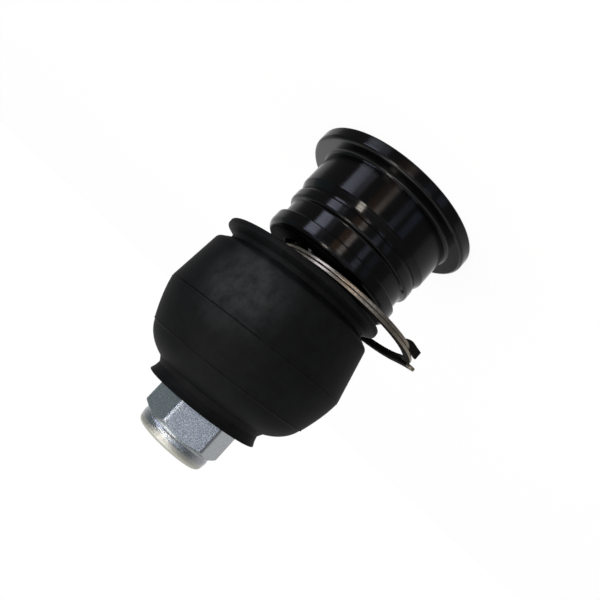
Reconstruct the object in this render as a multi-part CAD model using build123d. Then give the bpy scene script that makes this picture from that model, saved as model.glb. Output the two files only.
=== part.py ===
"""Press-in suspension ball joint with dust boot, loose boot ring and lock nut.

The housing is a turned steel body with a flange at its closed end. The ball stud points
along +Z out of the open end. The origin is the middle of the flange's outer face, so the
ball, the stud and the nut all lie on the Z axis. Lengths are in millimetres.
"""

from build123d import *
from math import cos, radians, sin, sqrt, tan
import os

os.makedirs("parts", exist_ok=True)

# Ball, seat and the parts that load them
ball_radius = 13.5
ball_flat_depth = 1.7           # how much the ball's closed end is cut flat
ball_clearance = 0.05           # between ball and seat, and between ball and pad
ball_floor_gap = 0.3            # from the ball's full sphere to the housing floor
ball_above_seat = 6.35          # how far the ball's full sphere stands above the seat
ball_below_seat = 6.8           # and how far it hangs below it
seat_wall = 3.45                # seat thickness at the ball's equator
seat_clearance = 0.05           # between the seat and the housing bore
grease_groove_width = 1.5
grease_groove_depth = 0.6
pad_seat_gap = 0.3              # free travel left between pressure pad and seat
pad_spring_gap = 0.05
pad_hole_radius = 7.2
spring_inner_radius = 6.6
spring_outer_radius = 13.0
spring_thickness = 1.0
spring_rise = 0.75
swing_angle = 25.0              # largest lean of the stud that the housing mouth allows
swing_gap = 1.3                 # left between the leaning stud and the housing mouth

# Housing
floor_thickness = 3.2
housing_wall = 3.15             # at the waist, the thinnest turned stretch
flange_thickness = 4.0
flange_step = 5.1               # flange radius over the press land
land_step = 1.8                 # press land over the waist
lead_in_step = 1.0
groove_step = 0.5
collar_step = 1.25              # collar and bead over the waist
lead_in_length = 2.2
groove_width = 0.8
bead_width = 3.2
waist_width = 5.1
waist_slope = 0.6
collar_width = 5.0
rolled_lip_thickness = 4.45     # steel rolled in over the closing ring
flange_edge_round = 0.6
flange_rim_round = 1.0
land_root_round = 1.0
bead_lower_round = 0.6
bead_round = 0.9
nose_round = 2.2

# Closing ring
closing_ring_thickness = 2.0
closing_ring_ledge = 1.35       # how far it reaches under the rolled lip, past the bore
closing_ring_clearance = 0.05

# Ball stud
neck_radius = 6.8
neck_length = 8.3               # bare neck between ball and taper
neck_round = 1.5                # where the neck leaves the ball
neck_top_round = 3.0            # where it runs into the flare
flare_length = 3.0
taper_large_radius = 8.9
taper_length = 30.0
taper_per_side = 0.05           # radius lost for each millimetre of taper, 1:10 on diameter
taper_large_round = 1.0
taper_small_round = 0.5
relief_radius = 6.0
relief_length = 3.0
relief_chamfer = 1.0            # from the taper's end down to the relief
relief_round = 0.4
thread_radius = 7.0             # M14 thread, drawn at its outside
thread_run_in = 0.8
stud_point_length = 1.2
centre_hole_radius = 1.6
centre_hole_depth = 1.6

# Dust boot, measured along its own axis
mouth_lift = 4.0                # boot mouth above the housing end face, as left loose
mouth_gap = 2.3                 # mouth radius over the housing collar
lip_thickness = 1.65
lip_height = 1.6
lip_round = 0.45
lip_slope = 1.3
groove_depth = 2.9              # clamp groove under the lip's outside
clamp_groove_width = 1.4
clamp_groove_round = 0.5
inner_bead = 3.2                # inner sealing bead inside the mouth radius
shoulder_rise = 1.9
shoulder_step = 3.15            # shoulder over the clamp groove
shoulder_round = 1.2
cone_height = 15.4
cone_step = 2.45                # belly over the shoulder
dome_height = 11.7
dome_step = 3.25                # belly over the crown edge
dome_bulge = 0.45               # how far the dome bows out of its chord
crown_height = 7.0
crown_step = 7.4                # crown edge over the waist of the small end
crown_bulge = 0.75
waist_height = 1.5
waist_step = 1.0                # small end's waist under the crown edge
waist_round = 0.8
foot_step = 0.65
foot_neck_round = 0.4
foot_height = 2.8
foot_round = 0.5
boot_wall = 2.45
inner_corner_drop = 0.6         # inside corners under the outside ones
seam_width = 0.5
seam_depth = 0.15
small_bore_gap = 0.8            # small end's bore over the thread
small_bore_length = 1.7
foot_recess_depth = 2.5
nut_recess_gap = 0.9            # recess around the corners of the nut
nut_ledge_gap = 1.6             # from the recess floor to the nut, room for the boot's lean
boot_lean_x = -0.080            # lean of the boot's axis for each millimetre of height
boot_lean_y = 0.042
boot_shift = 0.17
boot_pivot_drop = 0.3           # the boot leans about a point this far under the nut

# Loose boot ring, a coil of flat spring wire
ring_wire_width = 2.5
ring_wire_thickness = 1.0
ring_turn_gap = 0.06
ring_squeeze = 0.8              # relaxed inside radius under the clamp groove's radius
ring_lift = 0.82                # coil's lower face over the housing end face, at its centre
ring_shift = -9.8               # coil's centre from the Z axis, as it hangs
ring_lean_x = 0.012             # rise of the coil's plane for each millimetre
ring_lean_y = -0.032
ring_start_angle = 44.0         # where the first turn leaves the ear
ring_turn_angle = 100.0         # where it starts to climb to the second turn
ring_ramp_angle = 25.0
ring_end_angle = 110.0          # where the second turn ends in its tail
ring_tail_length = 11.8
ring_tail_spring = 0.5          # how far the tail springs off the coil
ring_ear_length = 9.4
ring_twist_start = 1.0
ring_twist_length = 3.5

# Lock nut with its polymer insert
nut_wall = 4.0                  # from the thread's outside to the flats, 22 mm across
nut_hex_height = 9.9
nut_angle = -7.7                # one corner's direction about Z, as screwed on
nut_chamfer = radians(30)
nut_face_inset = 0.3            # chamfer's circle on the end face under half the flats
nut_bore_chamfer = 1.0
nut_collar_wall = 1.25          # steel around the insert's pocket
nut_collar_height = 4.1
nut_collar_overlap = 1.0        # collar sunk into the hexagon, past its chamfer
nut_collar_round = 1.5
nut_lip_overlap = 1.0           # how far the rolled lip reaches in over the insert
nut_lip_thickness = 1.4
nut_bore_clearance = 0.03
insert_wall = 2.5
insert_thickness = 2.2
insert_clearance = 0.05
stud_end_depth = 1.8            # stud end under the top of the nut

# Heights and radii worked out from the sizes above
ball_height = floor_thickness + ball_floor_gap + ball_radius
seat_radius = ball_radius + ball_clearance + seat_wall
bore_radius = seat_radius + seat_clearance
waist_radius = bore_radius + housing_wall
land_radius = waist_radius + land_step
flange_radius = land_radius + flange_step
collar_radius = waist_radius + collar_step
seat_bottom = ball_height - ball_radius + ball_below_seat
seat_top = ball_height + ball_radius - ball_above_seat
closing_ring_bottom = seat_top + seat_clearance
closing_ring_top = closing_ring_bottom + closing_ring_thickness
rolled_lip_bottom = closing_ring_top + closing_ring_clearance
closing_ring_radius = bore_radius + closing_ring_ledge
housing_height = rolled_lip_bottom + rolled_lip_thickness

clamp_groove_radius = collar_radius + mouth_gap + lip_thickness - groove_depth
mouth_height = housing_height + mouth_lift
lip_top = mouth_height + lip_height
clamp_groove_bottom = lip_top + lip_slope
clamp_groove_top = clamp_groove_bottom + clamp_groove_width
shoulder_height = clamp_groove_top + shoulder_rise
shoulder_radius = clamp_groove_radius + shoulder_step
belly_height = shoulder_height + cone_height
belly_radius = shoulder_radius + cone_step
crown_bottom = belly_height + dome_height
crown_radius = belly_radius - dome_step
crown_top = crown_bottom + crown_height
crown_edge_radius = crown_radius - crown_step
small_end_radius = crown_edge_radius - waist_step
foot_top = crown_top + waist_height + foot_height
recess_floor = foot_top - foot_recess_depth

nut_base = recess_floor + nut_ledge_gap
nut_flat_radius = thread_radius + nut_wall
nut_corner_radius = nut_flat_radius / cos(radians(30))
insert_radius = thread_radius + insert_clearance + insert_wall
nut_pocket_radius = insert_radius + insert_clearance
nut_collar_radius = nut_pocket_radius + nut_collar_wall
nut_lip_radius = nut_pocket_radius - nut_lip_overlap
nut_top = nut_base + nut_hex_height + nut_collar_height
stud_end = nut_top - stud_end_depth
insert_top = nut_top - nut_lip_thickness
neck_top = ball_height + sqrt(ball_radius**2 - neck_radius**2) + neck_length
taper_bottom = neck_top + flare_length
taper_top = taper_bottom + taper_length
taper_small_radius = taper_large_radius - taper_per_side * taper_length


def turned(*corners):
    """Solid of revolution about Z. A corner is (radius, height) or (radius, height, rounding)."""
    points = [corner[:2] for corner in corners]
    roundings = [corner[2] if len(corner) > 2 else 0 for corner in corners]
    outline = FilletPolyline(*points, radius=roundings, close=True)
    return revolve(Plane.XZ * make_face(outline), Axis.Z)


def swing_radius(height, gap):
    """Radius that clears the leaning neck of the stud at a height, by the given gap."""
    lean = radians(swing_angle)
    return (height - ball_height) * tan(lean) + neck_radius / cos(lean) + gap


def ball_space():
    """The ball with its running clearance, to be cut out of what holds it."""
    return Pos(0, 0, ball_height) * Sphere(ball_radius + ball_clearance)


def make_housing():
    """Turned steel body: flange, press land, bead, waist and the rolled-in collar."""
    waist_top = housing_height - collar_width
    waist_bottom = waist_top - waist_width
    bead_bottom = waist_bottom - bead_width
    groove_bottom = bead_bottom - groove_width
    land_top = groove_bottom - lead_in_length
    counterbore_radius = closing_ring_radius + closing_ring_clearance
    return turned(
        (0, 0),
        (flange_radius, 0, flange_edge_round),
        (flange_radius, flange_thickness, flange_rim_round),
        (land_radius, flange_thickness, land_root_round),
        (land_radius, land_top),
        (land_radius - lead_in_step, groove_bottom),
        (waist_radius + groove_step, groove_bottom),
        (waist_radius + groove_step, bead_bottom),
        (collar_radius, bead_bottom, bead_lower_round),
        (collar_radius, waist_bottom, bead_round),
        (waist_radius, waist_bottom + waist_slope),
        (waist_radius, waist_top),
        (collar_radius, waist_top),
        (collar_radius, housing_height, nose_round),
        (swing_radius(housing_height, swing_gap), housing_height),
        (swing_radius(rolled_lip_bottom, swing_gap), rolled_lip_bottom),
        (counterbore_radius, rolled_lip_bottom),
        (counterbore_radius, closing_ring_bottom),
        (bore_radius, closing_ring_bottom),
        (bore_radius, floor_thickness),
        (0, floor_thickness),
    )


def make_closing_ring():
    """Steel washer with a conical bore, held by the rolled lip, that keeps the seat in."""
    return turned(
        (swing_radius(closing_ring_bottom, swing_gap), closing_ring_bottom),
        (closing_ring_radius, closing_ring_bottom),
        (closing_ring_radius, closing_ring_top),
        (swing_radius(closing_ring_top, swing_gap), closing_ring_top),
    )


def make_disc_spring():
    """Conical spring washer that keeps the ball loaded against the seat."""
    inner_bottom = floor_thickness + spring_rise
    return turned(
        (spring_outer_radius, floor_thickness),
        (spring_outer_radius, floor_thickness + spring_thickness),
        (spring_inner_radius, inner_bottom + spring_thickness),
        (spring_inner_radius, inner_bottom),
    )


def make_pressure_pad():
    """Polymer cup under the ball, pushed up by the disc spring."""
    bottom = floor_thickness + spring_rise + spring_thickness + pad_spring_gap
    top = seat_bottom - pad_seat_gap
    blank = turned(
        (pad_hole_radius, bottom),
        (seat_radius, bottom),
        (seat_radius, top),
        (pad_hole_radius, top),
    )
    return blank - ball_space()


def make_ball_seat():
    """Polymer bearing shell around the ball, with four grease grooves inside."""
    blank = turned(
        (pad_hole_radius, seat_bottom),
        (seat_radius, seat_bottom),
        (seat_radius, seat_top),
        (pad_hole_radius, seat_top),
    )
    seat = blank - ball_space()
    groove_disc = Cylinder(ball_radius + ball_clearance + grease_groove_depth, grease_groove_width)
    for angle in (0, 90):
        seat -= Pos(0, 0, ball_height) * Rot(0, 0, angle) * Rot(90, 0, 0) * groove_disc
    return seat


def make_ball_stud():
    """Forged stud: ball, neck, 1:10 taper, thread relief and thread, in one piece."""
    flat_height = ball_height - ball_radius + ball_flat_depth
    ball = Pos(0, 0, ball_height) * Sphere(ball_radius)
    ball -= Pos(0, 0, flat_height) * Cylinder(
        ball_radius, ball_radius, align=(Align.CENTER, Align.CENTER, Align.MAX))
    relief_bottom = taper_top + relief_chamfer
    relief_top = relief_bottom + relief_length
    shank = turned(
        (0, ball_height),
        (neck_radius, ball_height),
        (neck_radius, neck_top, neck_top_round),
        (taper_large_radius, taper_bottom, taper_large_round),
        (taper_small_radius, taper_top, taper_small_round),
        (relief_radius, relief_bottom, relief_round),
        (relief_radius, relief_top - thread_run_in),
        (thread_radius, relief_top),
        (thread_radius, stud_end - stud_point_length),
        (thread_radius - stud_point_length, stud_end),
        (centre_hole_radius, stud_end),
        (0, stud_end - centre_hole_depth),
    )
    stud = ball + shank
    joint_height = ball_height + sqrt(ball_radius**2 - neck_radius**2)
    root = stud.edges().filter_by_position(
        Axis.Z, joint_height - 0.01, joint_height + 0.01).filter_by(GeomType.CIRCLE)
    return fillet(root, neck_round)


def boot_outside():
    """Outer line of the boot from the mouth to the foot, as chained curves."""
    lip_radius = collar_radius + mouth_gap + lip_thickness
    mouth_radius = collar_radius + mouth_gap
    lower = FilletPolyline(
        (mouth_radius, mouth_height),
        (lip_radius, mouth_height, 0),
        (lip_radius, lip_top, 0),
        (clamp_groove_radius, clamp_groove_bottom, 0),
        (clamp_groove_radius, clamp_groove_top, 0),
        (shoulder_radius, shoulder_height, 0),
        (belly_radius, belly_height, 0),
        radius=[lip_round, lip_round, clamp_groove_round, clamp_groove_round, shoulder_round],
    )
    seam = Polyline(
        (belly_radius, belly_height),
        (belly_radius - seam_depth, belly_height + seam_width / 2),
        (belly_radius, belly_height + seam_width),
    )
    dome_start = (belly_radius, belly_height + seam_width)
    dome_middle = (belly_radius - dome_step / 2 + dome_bulge, belly_height + dome_height / 2)
    dome = ThreePointArc(dome_start, dome_middle, (crown_radius, crown_bottom))
    crown_middle = (
        crown_radius - crown_step / 2 + crown_bulge,
        crown_bottom + crown_height / 2 + crown_bulge,
    )
    crown_end = (crown_edge_radius, crown_top)
    crown = ThreePointArc((crown_radius, crown_bottom), crown_middle, crown_end)
    foot = FilletPolyline(
        crown_end,
        (small_end_radius, crown_top + waist_height),
        (small_end_radius + foot_step, crown_top + 2 * waist_height),
        (small_end_radius + foot_step, foot_top),
        (nut_corner_radius + nut_recess_gap, foot_top),
        radius=[waist_round, foot_neck_round, foot_round],
    )
    return [lower, seam, dome, crown, foot]


def boot_inside():
    """Inner line of the boot from the foot's recess back to the mouth, one wall inside."""
    mouth_radius = collar_radius + mouth_gap
    bead_radius = mouth_radius - inner_bead
    recess_radius = nut_corner_radius + nut_recess_gap
    small_bore = thread_radius + small_bore_gap
    bore_bottom = recess_floor - small_bore_length
    return Polyline(
        (recess_radius, foot_top),
        (recess_radius, recess_floor),
        (small_bore, recess_floor),
        (small_bore, bore_bottom),
        (crown_edge_radius - boot_wall / 2, bore_bottom - inner_corner_drop),
        (crown_radius - crown_step / 2 - boot_wall, crown_top - crown_height / 2),
        (crown_radius - boot_wall, crown_bottom - inner_corner_drop),
        (belly_radius - dome_step / 3 - boot_wall, belly_height + dome_height / 2),
        (belly_radius - boot_wall, belly_height),
        (shoulder_radius - boot_wall, shoulder_height + inner_corner_drop),
        (bead_radius, clamp_groove_top),
        (bead_radius, clamp_groove_bottom),
        (mouth_radius, mouth_height),
    )


def make_dust_boot():
    """Moulded rubber bellows, open at the housing, with a recessed foot around the nut."""
    outline = Wire(
        [edge for curve in (*boot_outside(), boot_inside()) for edge in curve.edges()])
    upright = revolve(Plane.XZ * make_face(outline), Axis.Z)
    pivot_height = nut_base - boot_pivot_drop
    leaning = Plane(
        origin=(boot_shift, 0, pivot_height),
        x_dir=(1, 0, -boot_lean_x),
        z_dir=(boot_lean_x, boot_lean_y, 1),
    )
    return leaning.location * Pos(0, 0, -pivot_height) * upright


def ring_frame():
    """Plane of the coil's lower face, at the coil's centre."""
    return Plane(
        origin=(ring_shift, 0, housing_height + ring_lift),
        x_dir=(1, 0, ring_lean_x),
        z_dir=(-ring_lean_x, -ring_lean_y, 1),
    )


def wire_section(angle, along=0, height=0, twist=0):
    """Cross-section of the flat wire, on a straight run of length along past an angle.

    The angle is counted from -Y towards -X. A twist of 90 stands the wire on its edge,
    hanging down from the height of its top face.
    """
    middle = clamp_groove_radius - ring_squeeze + ring_wire_width / 2
    radial = Vector(-sin(radians(angle)), -cos(radians(angle)), 0)
    forward = Vector(-cos(radians(angle)), sin(radians(angle)), 0)
    drop = (ring_wire_width - ring_wire_thickness) / 2 * sin(radians(twist))
    centre = radial * middle + forward * along
    centre += Vector(0, 0, height + ring_wire_thickness / 2 - drop)
    plane = Plane(origin=centre, x_dir=radial, z_dir=forward)
    return plane * Rot(0, 0, twist) * Rectangle(ring_wire_width, ring_wire_thickness)


def turn_of_wire(from_angle, to_angle, height):
    """A flat arc of the coil between two angles, the first one the larger."""
    section = wire_section(to_angle, height=height)
    return revolve(section, Axis.Z, revolution_arc=to_angle - from_angle)


def make_boot_ring():
    """Spring wire coil of nearly two turns, with a twisted ear and a straight tail."""
    second_height = ring_wire_thickness + ring_turn_gap
    ramp_end = ring_turn_angle - ring_ramp_angle
    lower_turn = turn_of_wire(ring_start_angle, ring_turn_angle - 360, 0)
    upper_turn = turn_of_wire(ramp_end, ring_end_angle - 360, second_height)

    ramp_steps = 5
    ramp = loft([
        wire_section(
            ring_turn_angle - ring_ramp_angle * step / ramp_steps,
            height=second_height * (1 - cos(radians(180 * step / ramp_steps))) / 2,
        )
        for step in range(ramp_steps + 1)
    ])

    tail = loft([
        wire_section(ring_end_angle, height=second_height),
        wire_section(ring_end_angle, -ring_tail_length, second_height + ring_tail_spring),
    ])

    twist_steps = 6
    ear_sections = [wire_section(ring_start_angle)]
    for step in range(twist_steps + 1):
        along = ring_twist_start + ring_twist_length * step / twist_steps
        ear_sections.append(wire_section(ring_start_angle, along, twist=90 * step / twist_steps))
    ear_sections.append(wire_section(ring_start_angle, ring_ear_length, twist=90))
    ear = loft(ear_sections, ruled=True)

    coil = lower_turn + ramp + upper_turn + tail + ear
    return ring_frame().location * coil


def make_lock_nut():
    """Hexagon nut with a round collar rolled over a polymer insert."""
    flats = Rot(0, 0, nut_angle) * extrude(
        RegularPolygon(nut_flat_radius, 6, major_radius=False), nut_hex_height)
    flat_circle = nut_flat_radius - nut_face_inset
    corner_drop = (nut_corner_radius - flat_circle) * tan(nut_chamfer)
    chamfered = turned(
        (0, 0),
        (flat_circle, 0),
        (nut_corner_radius, corner_drop),
        (nut_corner_radius, nut_hex_height - corner_drop),
        (flat_circle, nut_hex_height),
        (0, nut_hex_height),
    )
    height = nut_hex_height + nut_collar_height
    collar = turned(
        (0, nut_hex_height - nut_collar_overlap),
        (nut_collar_radius, nut_hex_height - nut_collar_overlap),
        (nut_collar_radius, height, nut_collar_round),
        (0, height),
    )
    pocket_top = height - nut_lip_thickness
    pocket_bottom = pocket_top - insert_thickness - 2 * insert_clearance
    nut_bore_radius = thread_radius + nut_bore_clearance
    hollow = turned(
        (0, 0),
        (nut_bore_radius + nut_bore_chamfer, 0),
        (nut_bore_radius, nut_bore_chamfer),
        (nut_bore_radius, pocket_bottom),
        (nut_pocket_radius, pocket_bottom),
        (nut_pocket_radius, pocket_top),
        (nut_lip_radius, pocket_top),
        (nut_lip_radius, height),
        (0, height),
    )
    return Pos(0, 0, nut_base) * ((flats & chamfered) + collar - hollow)


def make_nut_insert():
    """Polymer ring trapped in the nut's collar, which grips the thread."""
    bottom = insert_top - insert_thickness - insert_clearance
    top = insert_top - insert_clearance
    return turned(
        (thread_radius + insert_clearance, bottom),
        (insert_radius, bottom),
        (insert_radius, top),
        (thread_radius + insert_clearance, top),
    )


pieces = {
    "housing": make_housing(),
    "closing_ring": make_closing_ring(),
    "disc_spring": make_disc_spring(),
    "pressure_pad": make_pressure_pad(),
    "ball_seat": make_ball_seat(),
    "ball_stud": make_ball_stud(),
    "dust_boot": make_dust_boot(),
    "boot_ring": make_boot_ring(),
    "lock_nut": make_lock_nut(),
    "nut_insert": make_nut_insert(),
}

for name, piece in pieces.items():
    export_step(piece, f"parts/{name}.step")
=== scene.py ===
# %% [markdown]
# # A suspension ball joint, dressed around its fixed frame
# The frame holds every piece at its real size and place. This lesson gives each visible
# piece a smooth surface and a finish. Heights and radii are in millimetres, as on a
# workshop drawing, and are turned to metres at the last step.

# %% Load the frame
import math

import bmesh
import bpy
import numpy as np
from mathutils import Matrix, Vector


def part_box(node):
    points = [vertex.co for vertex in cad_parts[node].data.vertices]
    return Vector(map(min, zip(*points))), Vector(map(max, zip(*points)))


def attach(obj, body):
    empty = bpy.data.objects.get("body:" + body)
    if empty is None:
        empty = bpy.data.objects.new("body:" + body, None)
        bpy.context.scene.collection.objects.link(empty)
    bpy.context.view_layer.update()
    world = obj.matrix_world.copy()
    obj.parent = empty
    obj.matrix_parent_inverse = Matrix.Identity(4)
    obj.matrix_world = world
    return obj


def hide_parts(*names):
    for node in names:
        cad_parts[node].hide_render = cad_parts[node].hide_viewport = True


MM = 0.001
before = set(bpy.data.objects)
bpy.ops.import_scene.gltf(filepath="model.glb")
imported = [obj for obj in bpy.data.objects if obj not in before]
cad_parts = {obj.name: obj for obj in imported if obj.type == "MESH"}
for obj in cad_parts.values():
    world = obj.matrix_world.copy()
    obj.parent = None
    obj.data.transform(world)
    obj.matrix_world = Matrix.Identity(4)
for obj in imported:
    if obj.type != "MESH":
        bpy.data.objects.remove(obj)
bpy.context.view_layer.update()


def node_box(name):
    """Lowest and highest corner of a frame node, in millimetres."""
    low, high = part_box(name)
    return np.array(low) / MM, np.array(high) / MM


# %% [markdown]
# ## The camera
# The photograph looks at the joint square on, a little from above the flange, with the
# camera turned far over, so the stud points down to the left. The camera's place, its
# focal length and its roll were worked out from the outlines of nut, boot and housing.

# %% Camera
camera_place = Vector((0.0, -167.98, 68.48)) * MM
camera_target = Vector((0.195, 0.0, 40.0)) * MM
camera_roll = 3.88718
focal_length_px = 611.52
photo_width_px = 600

camera_data = bpy.data.cameras.new("camera")
camera_data.sensor_width = 36.0
camera_data.lens = focal_length_px / photo_width_px * camera_data.sensor_width
camera_data.clip_start = 0.005
camera_data.clip_end = 20.0
camera = bpy.data.objects.new("camera", camera_data)
bpy.context.scene.collection.objects.link(camera)

forward = (camera_target - camera_place).normalized()
level_right = forward.cross(Vector((0, 0, 1))).normalized()
level_up = level_right.cross(forward)
camera_x = level_right * math.cos(camera_roll) + level_up * math.sin(camera_roll)
camera_y = level_up * math.cos(camera_roll) - level_right * math.sin(camera_roll)
turn = Matrix((camera_x, camera_y, -forward)).transposed()
camera.matrix_world = Matrix.Translation(camera_place) @ turn.to_4x4()
bpy.context.scene.camera = camera
bpy.context.scene.view_settings.view_transform = "Standard"
print("focal length", round(camera_data.lens, 2), "mm")


# %% [markdown]
# ## Colours and shader nodes
# Colours are written as sRGB hex values, as a colour picker shows them. Shaders work in
# linear light, so one function converts them. One more function adds a shader node.

# %% Colour and node helpers
def colour(hex_value):
    """sRGB hex such as "#1a2b3c" to linear red, green, blue and alpha."""
    srgb = np.array([int(hex_value[i:i + 2], 16) for i in (1, 3, 5)]) / 255
    linear = np.where(srgb <= 0.04045, srgb / 12.92, ((srgb + 0.055) / 1.055) ** 2.4)
    return (*linear.tolist(), 1.0)


def add_node(tree, kind, inputs=(), **settings):
    """Adds a node. An input is set to a value, or linked if it is given another socket."""
    made = tree.nodes.new(kind)
    for name, value in settings.items():
        setattr(made, name, value)
    for name, value in dict(inputs).items():
        if isinstance(value, bpy.types.NodeSocket):
            tree.links.new(value, made.inputs[name])
        else:
            made.inputs[name].default_value = value
    return made


def new_finish(name, **shader_inputs):
    """A material with one Principled shader. Returns the material, its tree and shader."""
    material = bpy.data.materials.new(name)
    material.use_nodes = True
    tree = material.node_tree
    tree.nodes.clear()
    shader = add_node(tree, "ShaderNodeBsdfPrincipled")
    for socket, value in shader_inputs.items():
        shader.inputs[socket.replace("_", " ")].default_value = value
    add_node(tree, "ShaderNodeOutputMaterial", {"Surface": shader.outputs["BSDF"]})
    print("finish", name)
    return material, tree, shader


# %% [markdown]
# ## Studio
# Black glossy steel shows little of itself: what is seen is the room. So the room is
# described by direction, as the steel mirrors it: white walls behind the part, a dark
# side towards the camera, and a few bright or tinted things low down in it. Directions
# are compass degrees, 0 towards the camera and 90 towards +X, and degrees above level.

# %% Directions
world = bpy.data.worlds.new("studio")
bpy.context.scene.world = world
world.use_nodes = True
sky = world.node_tree
sky.nodes.clear()
direction = add_node(sky, "ShaderNodeTexCoord")
axes = add_node(sky, "ShaderNodeSeparateXYZ", {0: direction.outputs["Generated"]})
towards_camera = add_node(
    sky, "ShaderNodeMath", {0: axes.outputs["Y"], 1: -1.0}, operation="MULTIPLY")
compass_radians = add_node(
    sky, "ShaderNodeMath", {0: axes.outputs["X"], 1: towards_camera.outputs[0]},
    operation="ARCTAN2")
compass = add_node(sky, "ShaderNodeMath", {0: compass_radians.outputs[0]}, operation="DEGREES")
height_radians = add_node(sky, "ShaderNodeMath", {0: axes.outputs["Z"]}, operation="ARCSINE")
height = add_node(sky, "ShaderNodeMath", {0: height_radians.outputs[0]}, operation="DEGREES")

# %% Walls
# compass degrees and brightness, once round the room from straight behind the part
wall_stops = [
    (-180, 0.90), (-160, 0.85), (-147, 0.52), (-120, 0.41), (-96, 0.34),
    (-83, 0.28), (-76, 0.11), (0, 0.12), (108, 0.11), (118, 0.15),
    (126, 0.42), (150, 0.60), (160, 0.85), (172, 0.78), (180, 0.90)]
compass_share = add_node(
    sky, "ShaderNodeMapRange",
    {"Value": compass.outputs[0], "From Min": -180.0, "From Max": 180.0})
walls = add_node(sky, "ShaderNodeValToRGB", {"Fac": compass_share.outputs["Result"]})
stops = walls.color_ramp.elements
while len(stops) < len(wall_stops):
    stops.new(1.0)
for stop, (degrees, strength) in zip(stops, wall_stops):
    stop.position = (degrees + 180) / 360
    stop.color = (strength, strength, strength, 1)
print("wall stops", len(stops))

# %% [markdown]
# ## Things in the room
# Each patch is a rectangle of directions with its own glow, added to the wall behind it.
# A turned side squeezes the room to thin upright streaks, so narrow patches are enough.
# Land, waist and collar lean a little differently from the camera and mirror different
# heights: the flange's rim 25 degrees under level, the collar 15 and the nut 7 above.

# %% Patches
# compass middle and half width, height middle and half width, strength, tint
room_patches = [
    (51, 10.5, -24, 5, 1.0, "#e4e6ff"),    # broad panel to the right, low
    (65, 5, -25, 4, 0.9, "#e4ecff"),       # its brighter end
    (65, 5, -20, 1.5, 2.2, "#e4ecff"),     # the top edge of that end
    (60, 10, -10, 8.5, 4.0, "#dfe4ff"),    # the window above the panel
    (7, 8, -22, 4, 0.28, "#e8b890"),       # warm table edge straight ahead
    (6, 4, -12, 6, 4.4, "#f4e8e0"),        # bright post behind the table
    (16, 6, -12, 6, 1.2, "#d8a078"),       # warm side of the post
    (-43, 6, -24, 5, 0.55, "#b4ccff"),     # cool panel to the left, low
    (-22, 5, -13, 5, 1.5, "#d4deff"),      # cool panel to the left, higher
    (12, 40, 10, 5, 1.45, "#e2ebff"),      # long lamp above the camera, for the nut
    (-170, 10, 24, 12, -0.68, "#ffffff"),  # dark opening behind, taken off the wall
    (100, 18, 6, 12, 0.07, "#58d8f0"),     # faint cyan sheet on the right
]
room_light = walls.outputs["Color"]
for compass_middle, compass_half, height_middle, height_half, strength, tint in room_patches:
    across = add_node(
        sky, "ShaderNodeMath",
        {0: compass.outputs[0], 1: compass_middle, 2: compass_half}, operation="COMPARE")
    upright = add_node(
        sky, "ShaderNodeMath",
        {0: height.outputs[0], 1: height_middle, 2: height_half}, operation="COMPARE")
    inside = add_node(
        sky, "ShaderNodeMath", {0: across.outputs[0], 1: upright.outputs[0]},
        operation="MULTIPLY")
    glow = [channel * strength for channel in colour(tint)[:3]]
    lit = add_node(
        sky, "ShaderNodeVectorMath", {0: inside.outputs[0], 1: glow, 2: room_light},
        operation="MULTIPLY_ADD")
    room_light = lit.outputs[0]
print("room patches", len(room_patches))

# %% [markdown]
# ## Who sees which room
# Only mirrored rays see the room above. Matt surfaces get one even fill, so their colours
# come out as written, and the camera itself sees plain white everywhere.

# %% Ceiling and rays
soft_fill = 0.6
ceiling_start, ceiling_full = 31.0, 46.0
overhead = add_node(
    sky, "ShaderNodeMapRange",
    {"Value": height.outputs[0], "From Min": ceiling_start, "From Max": ceiling_full},
    interpolation_type="SMOOTHSTEP")
with_ceiling = add_node(
    sky, "ShaderNodeMix",
    {"Factor": overhead.outputs["Result"], 6: room_light, 7: colour("#c4c4c0")},
    data_type="RGBA")
rays = add_node(sky, "ShaderNodeLightPath")
glossy_or_fill = add_node(
    sky, "ShaderNodeMix",
    {"Factor": rays.outputs["Is Glossy Ray"], 6: (soft_fill, soft_fill, soft_fill, 1),
     7: with_ceiling.outputs[2]},
    data_type="RGBA")
seen_light = add_node(
    sky, "ShaderNodeMix",
    {"Factor": rays.outputs["Is Camera Ray"], 6: glossy_or_fill.outputs[2], 7: (1, 1, 1, 1)},
    data_type="RGBA")
background = add_node(
    sky, "ShaderNodeBackground", {"Color": seen_light.outputs[2], "Strength": 1.0})
add_node(sky, "ShaderNodeOutputWorld", {"Surface": background.outputs["Background"]})
print("world nodes", len(sky.nodes))


# %% Lamps
def add_softbox(name, place_mm, aim_mm, width_mm, height_mm, watts, tint):
    """A rectangular lamp at a place in millimetres, turned to face a point."""
    lamp = bpy.data.lights.new(name, "AREA")
    lamp.shape = "RECTANGLE"
    lamp.size = width_mm * MM
    lamp.size_y = height_mm * MM
    lamp.energy = watts
    lamp.color = colour(tint)[:3]
    softbox = bpy.data.objects.new(name, lamp)
    bpy.context.scene.collection.objects.link(softbox)
    place = Vector(place_mm) * MM
    softbox.location = place
    softbox.rotation_euler = (Vector(aim_mm) * MM - place).to_track_quat("-Z", "Y").to_euler()
    print("lamp", name, watts, "W")


part_middle = (0, 0, 40)
add_softbox("key_lamp", (207, -390, 255), part_middle, 80, 80, 0.32, "#fff6e8")
add_softbox("top_panel", (120, -190, 430), part_middle, 280, 280, 0.30, "#ffffff")


# %% [markdown]
# ## Floor
# The part stands on its flange on a pale floor. The floor is a shallow sheet that only
# catches a shadow: the camera sees it as white, and shiny surfaces see the room in its
# place.

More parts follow.
